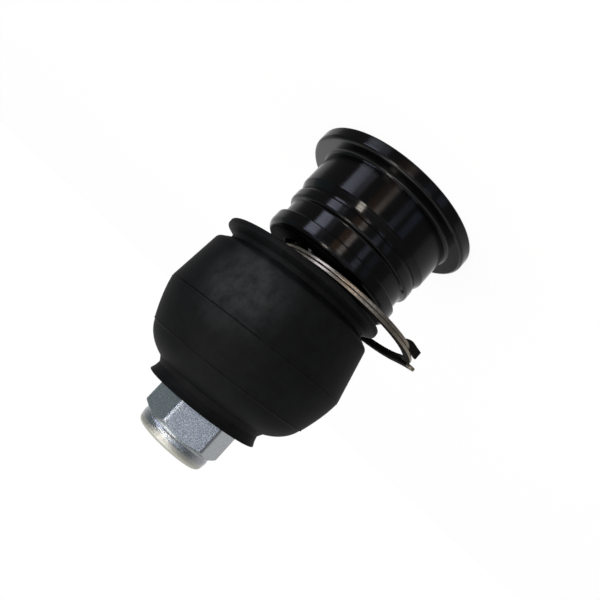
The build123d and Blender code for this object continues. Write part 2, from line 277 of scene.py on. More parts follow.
# %% Floor sheet
floor_half = 1.2
floor_mesh = bpy.data.meshes.new("floor")
corners = [(-floor_half, -floor_half, 0), (floor_half, -floor_half, 0),
           (floor_half, floor_half, 0), (-floor_half, floor_half, 0)]
floor_mesh.from_pydata(corners, [], [(0, 1, 2, 3)])
floor = bpy.data.objects.new("floor", floor_mesh)
bpy.context.scene.collection.objects.link(floor)
floor.visible_glossy = False
print("floor", 2 * floor_half, "m square")

# %% Floor finish
floor_material, floor_tree, floor_shader = new_finish(
    "matt_white_sheet", Base_Color=colour("#f4f4f4"), Roughness=0.9)
floor_output = next(n for n in floor_tree.nodes if n.type == "OUTPUT_MATERIAL")
floor_rays = add_node(floor_tree, "ShaderNodeLightPath")
# the camera sees mostly a white glow, and the rest is the lit sheet with its shadow
shadow_share = 0.12
white_glow = add_node(
    floor_tree, "ShaderNodeEmission", {"Color": (1, 1, 1, 1), "Strength": 1.05})
camera_share = add_node(
    floor_tree, "ShaderNodeMath",
    {0: floor_rays.outputs["Is Camera Ray"], 1: 1 - shadow_share}, operation="MULTIPLY")
floor_mix = add_node(
    floor_tree, "ShaderNodeMixShader",
    {0: camera_share.outputs[0], 1: floor_shader.outputs["BSDF"], 2: white_glow.outputs[0]})
floor_tree.links.new(floor_mix.outputs[0], floor_output.inputs["Surface"])
floor_mesh.materials.append(floor_material)


# %% [markdown]
# ## Turned surfaces
# Nearly every piece here came off a lathe or out of a round mould. Its section is a
# short list of corners, each with a radius and a height, and a rounding where the real
# edge is broken. The function below rounds the corners, and the next one spins the
# outline. Close rows of vertices beside each corner keep the shading crisp. Working the
# points out as whole arrays gives finer edges than turning a mesh in the editor would.

# %% Outlines with rounded corners
def rounded_outline(corners, closed=True, arc_steps=7, support=0.07):
    """Corners (radius, height[, rounding]) to points, with an arc at each rounded corner.

    The arc's tangent length is rounding times tan of half the turn. Every straight
    stretch gets one more point close to each of its ends.
    """
    points = np.array([corner[:2] for corner in corners], float)
    roundings = [corner[2] if len(corner) > 2 else 0.0 for corner in corners]
    count = len(points)
    rows = []
    for i, (here, rounding) in enumerate(zip(points, roundings)):
        at_end = not closed and i in (0, count - 1)
        if rounding == 0 or at_end:
            rows.append(here[None])
            continue
        back = points[i - 1] - here
        ahead = points[(i + 1) % count] - here
        back /= np.linalg.norm(back)
        ahead /= np.linalg.norm(ahead)
        half_angle = math.acos(np.clip(back @ ahead, -1, 1)) / 2
        tangent = rounding / math.tan(half_angle)
        inward = (back + ahead) / np.linalg.norm(back + ahead)
        centre = here + inward * rounding / math.sin(half_angle)
        first = here + back * tangent - centre
        last = here + ahead * tangent - centre
        sweep = math.pi - 2 * half_angle
        share = np.linspace(0, 1, arc_steps + 1)[:, None]
        arc = np.sin((1 - share) * sweep) * first + np.sin(share * sweep) * last
        rows.append(centre + arc / math.sin(sweep))
    outline = np.concatenate(rows)
    if closed:
        outline = np.concatenate([outline, outline[:1]])
    steps = np.diff(outline, axis=0)
    lengths = np.linalg.norm(steps, axis=1)
    dense = [outline[:1]]
    for start, step, length in zip(outline[:-1], steps, lengths):
        if length > 5 * support:
            dense.append(start + step * (support / length))
            dense.append(start + step * (1 - support / length))
        dense.append(start + step)
    dense = np.concatenate([np.atleast_2d(row) for row in dense])
    return dense[:-1] if closed else dense


# %% Grids of points to closed meshes
def grid_mesh(name, grid, wrap_rows, wrap_columns):
    """An object from a grid of points (rows, columns, 3) in millimetres.

    Each point makes a quad with its right, lower right and lower neighbours. Rows and
    columns that wrap round are joined to the first ones.
    """
    rows, columns = grid.shape[:2]
    row = np.arange(rows if wrap_rows else rows - 1)
    column = np.arange(columns if wrap_columns else columns - 1)
    r, c = np.meshgrid(row, column, indexing="ij")
    r1, c1 = (r + 1) % rows, (c + 1) % columns
    quads = np.stack([r * columns + c, r * columns + c1, r1 * columns + c1, r1 * columns + c], -1)
    quads = quads.reshape(-1, 4)
    mesh = bpy.data.meshes.new(name)
    mesh.vertices.add(rows * columns)
    mesh.vertices.foreach_set("co", (grid.reshape(-1) * MM).astype(np.float32))
    mesh.loops.add(quads.size)
    mesh.loops.foreach_set("vertex_index", quads.reshape(-1).astype(np.int32))
    mesh.polygons.add(len(quads))
    mesh.polygons.foreach_set("loop_start", np.arange(0, quads.size, 4, dtype=np.int32))
    mesh.update(calc_edges=True)
    mesh.validate()
    finished = bpy.data.objects.new(name, mesh)
    bpy.context.scene.collection.objects.link(finished)
    return finished


def close_and_smooth(piece, sharp_degrees=32):
    """Merges doubled points, closes open ends, turns faces outwards and shades smooth."""
    edit = bmesh.new()
    edit.from_mesh(piece.data)
    bmesh.ops.remove_doubles(edit, verts=edit.verts, dist=0.0005 * MM)
    open_edges = [edge for edge in edit.edges if edge.is_boundary]
    if open_edges:
        bmesh.ops.holes_fill(edit, edges=open_edges, sides=0)
    bmesh.ops.recalc_face_normals(edit, faces=edit.faces)
    edit.to_mesh(piece.data)
    edit.free()
    piece.data.shade_smooth()
    piece.data.set_sharp_from_angle(angle=math.radians(sharp_degrees))
    return piece


# %% Spinning and dressing
def spin(name, outline, segments=256, closed=True, change=None):
    """Turns an outline about Z: x = r sin u, y = -r cos u, z = height, u round the circle.

    A change is a function of the outline and u that returns what to add to the radius.
    """
    around = np.linspace(0, 2 * np.pi, segments, endpoint=False)
    radius, height = outline[:, :1], outline[:, 1:]
    if change:
        radius = radius + change(outline, around)
    grid = np.stack([radius * np.sin(around), -radius * np.cos(around),
                     height * np.ones_like(around)], -1)
    return close_and_smooth(grid_mesh(name, grid, wrap_rows=closed, wrap_columns=True))


def dress(piece, body, material, slot, *nodes):
    """Gives a piece its finish, its body and the frame nodes it stands for. The slot is not used.
    """
    piece.data.materials.append(material)
    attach(piece, body)
    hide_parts(*nodes)
    print(piece.name, len(piece.data.vertices), "vertices")
    return piece


# %% [markdown]
# ## Black turned housing
# The housing is turned from steel bar and then dipped in a black coat. The tool leaves
# rings finer than a hair, which pull each reflection out sideways along the cut. The
# rings follow the sum of radius and height, so one pattern serves both the round sides
# and the flat faces. They are drawn three times as coarse as real ones, to show at all.

# %% Lathe rings
def lathe_rings(tree, ring_mm):
    """Noise along the sum of radius and height, one ridge for each ring_mm millimetres."""
    place = add_node(tree, "ShaderNodeTexCoord")
    parts = add_node(tree, "ShaderNodeSeparateXYZ", {0: place.outputs["Object"]})
    flat = add_node(
        tree, "ShaderNodeCombineXYZ", {"X": parts.outputs["X"], "Y": parts.outputs["Y"]})
    radius = add_node(tree, "ShaderNodeVectorMath", {0: flat.outputs[0]}, operation="LENGTH")
    along = add_node(tree, "ShaderNodeMath", {0: radius.outputs["Value"], 1: parts.outputs["Z"]})
    scaled = add_node(
        tree, "ShaderNodeMath", {0: along.outputs[0], 1: 1 / (ring_mm * MM)}, operation="MULTIPLY")
    return add_node(
        tree, "ShaderNodeTexNoise",
        {"W": scaled.outputs[0], "Scale": 1.0, "Detail": 2.0, "Roughness": 0.6},
        noise_dimensions="1D")


# %% Housing finish
# a thin black coat on turned steel: deep black, with reflections as sharp as on varnish
housing_low, housing_high = node_box("housing")
housing_height = housing_high[2]
rolled_from, rolled_to = housing_height - 0.5, housing_height - 0.1
housing_material, tree, shader = new_finish(
    "black_coated_turned_steel", Base_Color=colour("#040405"), Roughness=0.2,
    IOR=1.42, Anisotropic=0.8, Anisotropic_Rotation=0.25)
turning = add_node(tree, "ShaderNodeTangent", direction_type="RADIAL", axis="Z")
tree.links.new(turning.outputs["Tangent"], shader.inputs["Tangent"])
rings = lathe_rings(tree, ring_mm=0.3)
ring_roughness = add_node(
    tree, "ShaderNodeMapRange",
    {"Value": rings.outputs["Fac"], "From Min": 0.3, "From Max": 0.7,
     "To Min": 0.12, "To Max": 0.22})
# the rolled end face is rough and mirrors a tenth as much, a painted shade that keeps it black
face_place = add_node(tree, "ShaderNodeTexCoord")
face_axes = add_node(tree, "ShaderNodeSeparateXYZ", {0: face_place.outputs["Object"]})
on_end_face = add_node(
    tree, "ShaderNodeMapRange",
    {"Value": face_axes.outputs["Z"], "From Min": rolled_from * MM, "From Max": rolled_to * MM})
housing_roughness = add_node(
    tree, "ShaderNodeMix",
    {"Factor": on_end_face.outputs["Result"], "A": ring_roughness.outputs["Result"], "B": 0.7})
tree.links.new(housing_roughness.outputs["Result"], shader.inputs["Roughness"])
end_face_shade_specular = add_node(
    tree, "ShaderNodeMix", {"Factor": on_end_face.outputs["Result"], "A": 0.5, "B": 0.05})
tree.links.new(end_face_shade_specular.outputs["Result"], shader.inputs["Specular IOR Level"])
ring_bump = add_node(
    tree, "ShaderNodeBump",
    {"Height": rings.outputs["Fac"], "Strength": 0.35, "Distance": 0.00004})
tree.links.new(ring_bump.outputs["Normal"], shader.inputs["Normal"])

# %% Housing measures
flange_radius = (housing_high[0] - housing_low[0]) / 2
flange_thickness = 4.0
land_radius = 22.0
lead_in_radius = 21.0
groove_radius = 20.7
collar_radius = 21.45
waist_radius = 20.2
bore_radius = 17.05
counterbore_radius = 18.45
land_top = housing_height - 16.3
groove_bottom = housing_height - 14.1
bead_bottom = housing_height - 13.3
waist_bottom = housing_height - 10.1
waist_top = housing_height - 5.0
lip_underside = housing_height - 4.45
closing_ring_bottom = housing_height - 6.5
mouth_rim_radius = 15.18
mouth_throat_radius = 13.13
floor_top = 3.2
print("housing", round(2 * flange_radius, 2), "mm across,", round(housing_height, 2), "high")

# %% Housing shape
housing_outline = rounded_outline([
    (0, 0),
    (flange_radius, 0, 0.6),
    (flange_radius, flange_thickness, 1.0),
    (land_radius, flange_thickness, 1.0),
    (land_radius, land_top, 0.4),
    (lead_in_radius, groove_bottom, 0.15),
    (groove_radius, groove_bottom, 0.08),
    (groove_radius, bead_bottom, 0.08),
    (collar_radius, bead_bottom, 0.6),
    (collar_radius, waist_bottom, 0.9),
    (waist_radius, waist_bottom + 0.6, 0.5),
    (waist_radius, waist_top, 0.3),
    (collar_radius, waist_top, 0.4),
    (collar_radius, housing_height, 2.2),
    (mouth_rim_radius, housing_height, 0.5),
    (mouth_throat_radius, lip_underside, 0.1),
    (counterbore_radius, lip_underside),
    (counterbore_radius, closing_ring_bottom),
    (bore_radius, closing_ring_bottom),
    (bore_radius, floor_top, 0.5),
    (0, floor_top),
], closed=False)
housing_piece = spin("housing_shell", housing_outline, segments=320, closed=False)
dress(housing_piece, "housing", housing_material, "housing_steel", "housing")


# %% [markdown]
# ## Dust boot
# The boot is moulded rubber. Two faint lines run round it where the mould's halves met.
# It leans a little, because nothing holds it yet, so its outline is spun upright and
# then tilted about its small end. Moulded rubber is matt and almost black, with a grain
# from the mould. A lighter patch flecked with dust on its belly, towards +X, is a painted
# highlight. The grain is drawn about five times as coarse as a mould's, to show at all.

# %% Rubber finish
grain_mm = 0.9
dust_patch_mm = 4.0
boot_material, tree, shader = new_finish(
    "moulded_black_rubber", Base_Color=colour("#0e0e0f"), Roughness=0.6,
    Specular_IOR_Level=0.12)
place = add_node(tree, "ShaderNodeTexCoord")
grain = add_node(
    tree, "ShaderNodeTexNoise",
    {"Vector": place.outputs["Object"], "Scale": 1 / (grain_mm * MM),
     "Detail": 3.0, "Roughness": 0.6})
dust = add_node(
    tree, "ShaderNodeTexNoise",
    {"Vector": place.outputs["Object"], "Scale": 1 / (dust_patch_mm * MM),
     "Detail": 7.0, "Roughness": 0.75})
rubber_bump = add_node(
    tree, "ShaderNodeBump",
    {"Height": grain.outputs["Fac"], "Strength": 0.35, "Distance": 0.00008})
tree.links.new(rubber_bump.outputs["Normal"], shader.inputs["Normal"])

# %% Painted highlight and dust on the rubber
# a painted highlight flecked with dust lies on the boot's belly, fading out 15 mm from its middle
highlight_at = (11.0 * MM, -24.0 * MM, 50.5 * MM)
highlight_core, highlight_edge = 3 * MM, 15 * MM
from_highlight = add_node(
    tree, "ShaderNodeVectorMath", {0: place.outputs["Object"], 1: highlight_at}, operation="DISTANCE")
highlight_share = add_node(
    tree, "ShaderNodeMapRange",
    {"Value": from_highlight.outputs["Value"], "From Min": highlight_core, "From Max": highlight_edge,
     "To Min": 1.0, "To Max": 0.12}, interpolation_type="SMOOTHSTEP")
dust_marks = add_node(
    tree, "ShaderNodeMapRange",
    {"Value": dust.outputs["Fac"], "From Min": 0.36, "From Max": 0.62,
     "To Min": 0.35, "To Max": 1.0})
# the lighter colour is a painted highlight, broken up by dust specks
dust_and_highlight_share = add_node(
    tree, "ShaderNodeMath", {0: highlight_share.outputs["Result"], 1: dust_marks.outputs["Result"]},
    operation="MULTIPLY")
rubber_colour = add_node(
    tree, "ShaderNodeMix",
    {"Factor": dust_and_highlight_share.outputs[0], "A": colour("#0b0b0d"), "B": colour("#363a3b")},
    data_type="RGBA")
tree.links.new(rubber_colour.outputs[2], shader.inputs["Base Color"])


# %% Shallow arcs
def arc_through(start, middle, end, steps=14):
    """A parabola through three points: (1-s)^2 start + 2s(1-s) pull + s^2 end.

    The pull point lies as far beyond the middle as the middle lies off the chord.
    """
    share = np.linspace(0, 1, steps + 1)[:, None]
    start, middle, end = (np.array(p, float) for p in (start, middle, end))
    pull = 2 * middle - (start + end) / 2
    return (1 - share) ** 2 * start + 2 * share * (1 - share) * pull + share ** 2 * end


# %% Boot measures
mouth_height = housing_height + 4.0
mouth_radius = collar_radius + 2.3
lip_radius = mouth_radius + 1.65
clamp_radius = 22.5
clamp_bottom = mouth_height + 2.9
clamp_top = clamp_bottom + 1.4
clamp_bore = mouth_radius - 3.2
shoulder_height = clamp_top + 1.9
shoulder_radius = 25.65
belly_height = shoulder_height + 15.4
belly_radius = 28.1
dome_height = belly_height + 5.85
dome_radius = 26.93
crown_bottom = belly_height + 11.7
crown_radius = 24.85
crown_bulge_radius = crown_radius - 2.95
crown_top = crown_bottom + 7.0
waist_end_radius = 16.45
foot_radius = 17.1
foot_top = crown_top + 4.3
recess_floor = foot_top - 2.5
recess_radius = 13.6
small_bore = 7.8
bore_bottom = recess_floor - 1.7
boot_wall = 2.45
inner_crown_end = (crown_radius - boot_wall, crown_bottom - 0.6)
crown_end = (crown_radius - 7.4, crown_top)
nut_base = recess_floor + 1.6
print("boot from", round(mouth_height, 2), "to", round(foot_top, 2), "mm, upright")

# %% Boot outside
boot_lower = rounded_outline([
    (mouth_radius, mouth_height),
    (lip_radius, mouth_height, 0.5),
    (lip_radius, clamp_bottom - 1.3, 0.5),
    (clamp_radius, clamp_bottom, 0.5),
    (clamp_radius, clamp_top, 0.5),
    (shoulder_radius, shoulder_height, 1.2),
    (belly_radius, belly_height),
], closed=False)
seam_ridge = np.array([
    (belly_radius - 0.02, belly_height + 0.04),
    (belly_radius - 0.07, belly_height + 0.12),
    (belly_radius - 0.07, belly_height + 0.26),
    (belly_radius + 0.08, belly_height + 0.36),
    (belly_radius + 0.08, belly_height + 0.50),
    (belly_radius - 0.02, belly_height + 0.62),
])
boot_dome = arc_through(
    (belly_radius - 0.03, belly_height + 0.72),
    (dome_radius, dome_height),
    (crown_radius, crown_bottom))
upper_seam = np.array([
    (crown_radius + 0.05, crown_bottom + 0.10),
    (crown_radius + 0.05, crown_bottom + 0.22),
    (crown_radius - 0.24, crown_bottom + 0.34),
])
boot_crown = arc_through(
    (crown_radius - 0.34, crown_bottom + 0.45),
    (crown_bulge_radius, crown_bottom + 4.25),
    crown_end)
boot_foot = rounded_outline([
    crown_end,
    (waist_end_radius, crown_top + 1.5, 0.9),
    (foot_radius - 0.35, crown_top + 3.0, 1.4),
    (foot_radius + 0.2, foot_top, 0.08),
    (recess_radius, foot_top, 0.3),
    (recess_radius, recess_floor, 0.4),
    (small_bore, recess_floor, 0.3),
    (small_bore, bore_bottom),
], closed=False)

# %% Boot inside
inner_crown = arc_through(
    (small_bore, bore_bottom),
    (crown_bulge_radius - boot_wall, crown_bottom + 2.5),
    inner_crown_end)
inner_dome = arc_through(
    inner_crown_end,
    (dome_radius - boot_wall, dome_height),
    (belly_radius - boot_wall, belly_height))
boot_inner = rounded_outline([
    (belly_radius - boot_wall, belly_height),
    (shoulder_radius - boot_wall, shoulder_height + 0.6, 1.2),
    (clamp_bore, clamp_top, 0.5),
    (clamp_bore, clamp_bottom, 0.5),
    (mouth_radius, mouth_height),
], closed=False)
boot_outline = np.concatenate([
    boot_lower, seam_ridge, boot_dome, upper_seam, boot_crown,
    boot_foot[1:], inner_crown[1:], inner_dome[1:], boot_inner[1:-1]])
print("boot outline", len(boot_outline), "points")

# %% Boot's lean
boot_axis = Vector((-0.080, 0.042, 1.0)).normalized()
boot_pivot = Vector((0.17, 0.0, nut_base - 0.3))
boot_side = Vector((1.0, 0.0, 0.080)).normalized()
boot_front = boot_axis.cross(boot_side)
boot_turn = Matrix((boot_side, boot_front, boot_axis)).transposed().to_4x4()
boot_tilt = (Matrix.Translation(boot_pivot * MM) @ boot_turn
             @ Matrix.Translation(Vector((0, 0, -boot_pivot.z)) * MM))
print("boot leans", round(math.degrees(boot_axis.angle(Vector((0, 0, 1)))), 1), "degrees")

# %% Boot shape
seam_middle = belly_height + 0.19
seam_half_height = 0.12
deepest = 0.30
deepest_at = math.radians(18)
deep_stretch = 0.55  # radians, the bell's width


def seam_depth(outline, around):
    """Deepens the lower seam towards +X by half a bell, exp(-(offset / stretch)^2)."""
    in_seam = np.abs(outline[:, 1] - seam_middle) < seam_half_height
    on_outside = outline[:, 0] > belly_radius - 0.3
    bell = np.exp(-((around - deepest_at) / deep_stretch) ** 2)
    return -deepest * (in_seam & on_outside)[:, None] * bell


boot_piece = spin("rubber_boot", boot_outline, segments=320, change=seam_depth)
boot_piece.data.transform(boot_tilt)
dress(boot_piece, "boot", boot_material, "boot_rubber", "dust_boot")


# %% [markdown]
# ## Loose boot ring
# This is a coil of flat spring wire, nearly two turns, that clamps the boot's mouth once
# it is sprung over it. Its first end is an ear, twisted on edge for a tool to grip, and
# its last end runs off straight. The wire is one band: a rounded rectangle carried
# along the coil, so it has no joins. Its outer edge is bare steel. Its wide faces and
# the ear are painted near black as painted shade, and the tip of its tail is painted
# bright as a painted highlight.

# %% Spring steel finish
# the drawing marks are longer and coarser than real ones, which are too fine to show
drawn_mark_mm = 1.4
spring_material, tree, shader = new_finish(
    "bare_spring_steel", Base_Color=colour("#8d867c"), Roughness=0.32, Metallic=1.0)
place = add_node(tree, "ShaderNodeTexCoord")
drawn_marks = add_node(
    tree, "ShaderNodeTexNoise",
    {"Vector": place.outputs["Object"], "Scale": 1 / (drawn_mark_mm * MM),
     "Detail": 4.0, "Roughness": 0.6})
spring_bump = add_node(
    tree, "ShaderNodeBump",
    {"Height": drawn_marks.outputs["Fac"], "Strength": 0.2, "Distance": 0.00003})
tree.links.new(spring_bump.outputs["Normal"], shader.inputs["Normal"])

# %% Bare steel and painted shade
# the attribute is 1 on bare steel and 0 where faces and ear are painted black as painted shade;
# the tail's tip is a painted highlight
lit_share = add_node(tree, "ShaderNodeAttribute", attribute_name="lit_share")
bright_steel = add_node(
    tree, "ShaderNodeMix",
    {"Factor": drawn_marks.outputs["Fac"], "A": colour("#85796a"), "B": colour("#cfc6b6")},
    data_type="RGBA")
spring_colour = add_node(
    tree, "ShaderNodeMix",
    {"Factor": lit_share.outputs["Fac"], "A": colour("#171614"), "B": bright_steel.outputs[2]},
    data_type="RGBA")
tree.links.new(spring_colour.outputs[2], shader.inputs["Base Color"])
tree.links.new(lit_share.outputs["Fac"], shader.inputs["Metallic"])
spring_roughness = add_node(
    tree, "ShaderNodeMapRange", {"Value": lit_share.outputs["Fac"], "To Min": 0.7, "To Max": 0.32})
tree.links.new(spring_roughness.outputs["Result"], shader.inputs["Roughness"])
spring_specular = add_node(
    tree, "ShaderNodeMapRange", {"Value": lit_share.outputs["Fac"], "To Min": 0.04, "To Max": 0.5})
tree.links.new(spring_specular.outputs["Result"], shader.inputs["Specular IOR Level"])

# %% Ring measures
wire_width = 2.5
wire_thickness = 1.0
wire_corner = 0.26
half_wide = wire_width / 2 - wire_corner
half_thick = wire_thickness / 2 - wire_corner
second_turn = wire_thickness + 0.06
coil_radius = clamp_radius - 0.8 + wire_width / 2
start_angle, ramp_angle, ramp_sweep, end_angle = 44.0, 100.0, 25.0, 110.0
ear_length, ear_twist_start, ear_twist_length = 9.4, 1.0, 3.5
tail_length, tail_spring, tip_length, tip_narrowest = 11.8, 0.5, 1.1, 0.3
# the ear's edge is mostly painted shade, and the tail's tip is a painted highlight
ear_lit_share, tip_highlight_share = 0.15, 0.8
print("coil", round(2 * coil_radius, 2), "mm across its wire's middle")


# %% The wire's path
def smooth_step(value):
    """0 to 1 with level ends, the half wave (1 - cos(pi x)) / 2."""
    return (1 - np.cos(np.pi * np.clip(value, 0, 1))) / 2


# an ear of straight stations, the coil's, and the tail's, which close up round its tip
ear = np.linspace(ear_length, 0, 43)
coil = np.linspace(start_angle, end_angle - 720, 720)[1:]
tip = np.linspace(0, np.pi / 2, 7)[1:]
tail = np.concatenate([
    np.linspace(0, tip_length - tail_length, 22)[1:],
    tip_length * (1 - np.sin(tip)) - tail_length])
ear_twisted = np.clip((ear - ear_twist_start) / ear_twist_length, 0, 1)


def wire_stations():
    """Middle point, radial direction and twist of every station along the wire.

    Angles run from -Y towards -X. A station has a place on the coil's circle and a length
    along the tangent for the straight ends. Its height climbs a little over one wire's
    thickness on the ramp. The ear, turned on edge, stays level with the wire's upper face
    and hangs down from it.
    """
    angle = np.radians(np.concatenate(
        [np.full(len(ear), start_angle), coil, np.full(len(tail), end_angle)]))
    along = np.concatenate([ear, np.zeros(len(coil)), tail])
    ramp = (ramp_angle - 360 - coil) / ramp_sweep
    height = np.concatenate([
        np.zeros(len(ear)), second_turn * smooth_step(ramp),
        second_turn + tail_spring * (tail / tail_length) ** 2])
    twist = np.concatenate([np.pi / 2 * ear_twisted, np.zeros(len(coil) + len(tail))])
    radial = np.stack([-np.sin(angle), -np.cos(angle), np.zeros_like(angle)], -1)
    tangent = np.stack([-np.cos(angle), np.sin(angle), np.zeros_like(angle)], -1)
    middle = radial * coil_radius + tangent * along[:, None]
    edge_drop = (wire_width - wire_thickness) / 2 * np.sin(twist)
    middle[:, 2] += height + wire_thickness / 2 - edge_drop
    return middle, radial, twist


# %% Ring shape
def wire_band(name):
    """A rounded rectangle carried along the wire, marked bare, painted shade or painted highlight.

    A section's point is across times the radial direction plus up times the coil's axis,
    turned by the twist. Each of its corners is a quarter circle. The tip narrows by the
    cosine, so it ends round.
    """
    middle, radial, twist = wire_stations()
    around = np.linspace(0, 2 * np.pi, 24, endpoint=False) + np.pi / 24
    across = np.sign(np.cos(around)) * half_wide + wire_corner * np.cos(around)
    up = np.sign(np.sin(around)) * half_thick + wire_corner * np.sin(around)
    width_share = np.ones(len(twist))
    width_share[-len(tip):] = np.maximum(np.cos(tip), tip_narrowest)
    across_here = width_share[:, None] * across
    side = np.cos(twist)[:, None] * across_here - np.sin(twist)[:, None] * up
    rise = np.sin(twist)[:, None] * across_here + np.cos(twist)[:, None] * up
    grid = middle[:, None, :] + side[..., None] * radial[:, None, :]
    grid[..., 2] += rise
    band = grid_mesh(name, grid, wrap_rows=False, wrap_columns=True)

    # bare steel on the outer edge, painted shade on the faces and ear, a painted highlight at the
    # tail's tip
    outer_edge = np.clip((np.cos(around) - 0.7) / 0.2, 0, 1)
    lit_values = np.concatenate(
        [1 - (1 - ear_lit_share) * ear_twisted, np.ones(len(coil) + len(tail))])
    lit_values = lit_values[:, None] * outer_edge
    lit_values[-len(tip) - 2:] = tip_highlight_share
    lit_share_layer = band.data.attributes.new("lit_share", "FLOAT", "POINT")
    lit_share_layer.data.foreach_set("value", lit_values.reshape(-1).astype(np.float32))
    return close_and_smooth(band, 50)


ring_shift = -9.8
ring_lift = 0.82
ring_lean_x, ring_lean_y = 0.012, -0.032
ring_piece = wire_band("boot_clamp_ring")
ring_up = Vector((-ring_lean_x, -ring_lean_y, 1)).normalized()
ring_side = Vector((1, 0, ring_lean_x)).normalized()
ring_front = ring_up.cross(ring_side)
ring_turn = Matrix((ring_side, ring_front, ring_up)).transposed().to_4x4()
ring_place = Vector((ring_shift, 0, housing_height + ring_lift)) * MM
ring_piece.data.transform(Matrix.Translation(ring_place) @ ring_turn)
dress(ring_piece, "boot", spring_material, "spring_steel", "boot_ring")


# %% [markdown]
# ## Lock nut
# A hexagon with chamfered corners and a round collar, rolled in over a polymer ring. In
# every direction the section is the same list of corners, but the distance to the flat
# changes with the direction, so the chamfer's curved edges come out exactly. Bright zinc
# plate is a bluish white metal with fine crystals that sparkle. They are drawn about ten
# times as coarse as real ones, to show at all.

# %% Zinc finish
nut_height = 14.0
rim_from = nut_base + nut_height - 2.2
rim_to = nut_base + nut_height - 1.7
crystal_mm = 0.5
zinc_colour = colour("#c8ced2")
zinc_material, tree, shader = new_finish(
    "bright_zinc_plate", Base_Color=zinc_colour, Roughness=0.22, Metallic=1.0)
place = add_node(tree, "ShaderNodeTexCoord")
crystals = add_node(
    tree, "ShaderNodeTexNoise",
    {"Vector": place.outputs["Object"], "Scale": 1 / (crystal_mm * MM),
     "Detail": 6.0, "Roughness": 0.75})
zinc_bump = add_node(
    tree, "ShaderNodeBump",
    {"Height": crystals.outputs["Fac"], "Strength": 0.9, "Distance": 0.0001})
tree.links.new(zinc_bump.outputs["Normal"], shader.inputs["Normal"])
zinc_roughness = add_node(
    tree, "ShaderNodeMapRange",
    {"Value": crystals.outputs["Fac"], "From Min": 0.3, "From Max": 0.7,
     "To Min": 0.1, "To Max": 0.34})

# %% Rolled rim's finish
# the rim was burnished by the tool that rolled it in, so its shine is satin and warmer
zinc_place = add_node(tree, "ShaderNodeSeparateXYZ", {0: place.outputs["Object"]})
on_rim = add_node(
    tree, "ShaderNodeMapRange",
    {"Value": zinc_place.outputs["Z"], "From Min": rim_from * MM, "From Max": rim_to * MM})
satin_roughness = add_node(
    tree, "ShaderNodeMix",
    {"Factor": on_rim.outputs["Result"], "A": zinc_roughness.outputs["Result"], "B": 0.4})
rim_colour = add_node(
    tree, "ShaderNodeMix",
    {"Factor": on_rim.outputs["Result"], "A": zinc_colour, "B": colour("#e2e1d9")},
    data_type="RGBA")
tree.links.new(rim_colour.outputs[2], shader.inputs["Base Color"])
tree.links.new(satin_roughness.outputs["Result"], shader.inputs["Roughness"])

# %% Nut measures
half_flats = 11.0
corner_rounding = 1.4
nut_angle = -7.7
hex_height = 9.9
nut_collar_radius = 10.85
collar_rounding = 1.6
pocket_radius = 9.6
pocket_bottom = nut_height - 3.7
pocket_top = nut_height - 1.4
nut_lip_radius = 8.6
nut_bore = 7.03
bore_mouth = 1.0
edge_break = 0.12
chamfer_slope = math.tan(math.radians(30))
chamfer_start = half_flats - 0.3
collar_foot = hex_height - (nut_collar_radius - chamfer_start) * chamfer_slope
print("nut", 2 * half_flats, "mm across flats,", nut_height, "high")


# %% Nut shape
def hexagon_reach(around):
    """Distance from the axis to a hexagon with rounded corners, by direction.

    On a flat it is half the width over cos of the angle from the flat's middle. Near a
    corner it is where the ray meets the corner's small circle.
    """
    off_flat = np.abs((around + np.pi / 6) % (np.pi / 3) - np.pi / 6)
    flat = half_flats / np.cos(off_flat)
    circle_at = (half_flats - corner_rounding) / math.cos(math.pi / 6)
    off_corner = np.pi / 6 - off_flat
    under_root = corner_rounding ** 2 - (circle_at * np.sin(off_corner)) ** 2
    arc = circle_at * np.cos(off_corner) + np.sqrt(np.maximum(under_root, 0))
    flat_ends = (half_flats - corner_rounding) * math.tan(math.pi / 6)
    return np.where(half_flats * np.tan(off_flat) > flat_ends, arc, flat)


def spin_nut(name, segments=432):
    """The nut's section in every direction, with the chamfer cut to the hexagon's reach."""
    around = np.linspace(0, 2 * np.pi, segments, endpoint=False)
    reach = hexagon_reach(around)
    one = np.ones_like(around)
    drop = (reach - chamfer_start) * chamfer_slope
    rows = [(nut_bore * one, bore_mouth * one),
            ((nut_bore + bore_mouth) * one, 0 * one),
            ((nut_bore + bore_mouth + 0.1) * one, 0 * one),
            ((chamfer_start - 0.1) * one, 0 * one),
            (chamfer_start * one, 0.01 * one)]
    rows += [(chamfer_start + (reach - chamfer_start) * s, drop * s) for s in (0.5, 0.97)]
    rows += [(reach, drop + edge_break), (reach, drop + 0.4)]
    rows += [(reach, hex_height - drop - 0.4), (reach, hex_height - drop - edge_break)]
    rows += [(nut_collar_radius + (reach - nut_collar_radius) * s,
              collar_foot - (reach - nut_collar_radius) * chamfer_slope * s)
             for s in (0.97, 0.5, 0.06)]
    top = rounded_outline([
        (nut_collar_radius, collar_foot + 0.1),
        (nut_collar_radius - 0.15, collar_foot + 0.5, 0.3),
        (nut_collar_radius, collar_foot + 1.0, 0.3),
        (nut_collar_radius - 0.05, nut_height - 2.4, 2.0),
        (nut_collar_radius - 0.55, nut_height, collar_rounding),
        (nut_lip_radius, nut_height, 0.3),
        (nut_lip_radius, pocket_top),
        (pocket_radius, pocket_top),
        (pocket_radius, pocket_bottom),
        (nut_bore, pocket_bottom),
        (nut_bore, bore_mouth),
    ], closed=False)
    rows += [(r * one, z * one) for r, z in top[:-1]]
    radius = np.array([row[0] for row in rows])
    height = np.array([row[1] for row in rows]) + nut_base
    turned = around + math.radians(nut_angle + 30)
    grid = np.stack([radius * np.cos(turned), radius * np.sin(turned), height], -1)
    return close_and_smooth(grid_mesh(name, grid, wrap_rows=True, wrap_columns=True), 24)


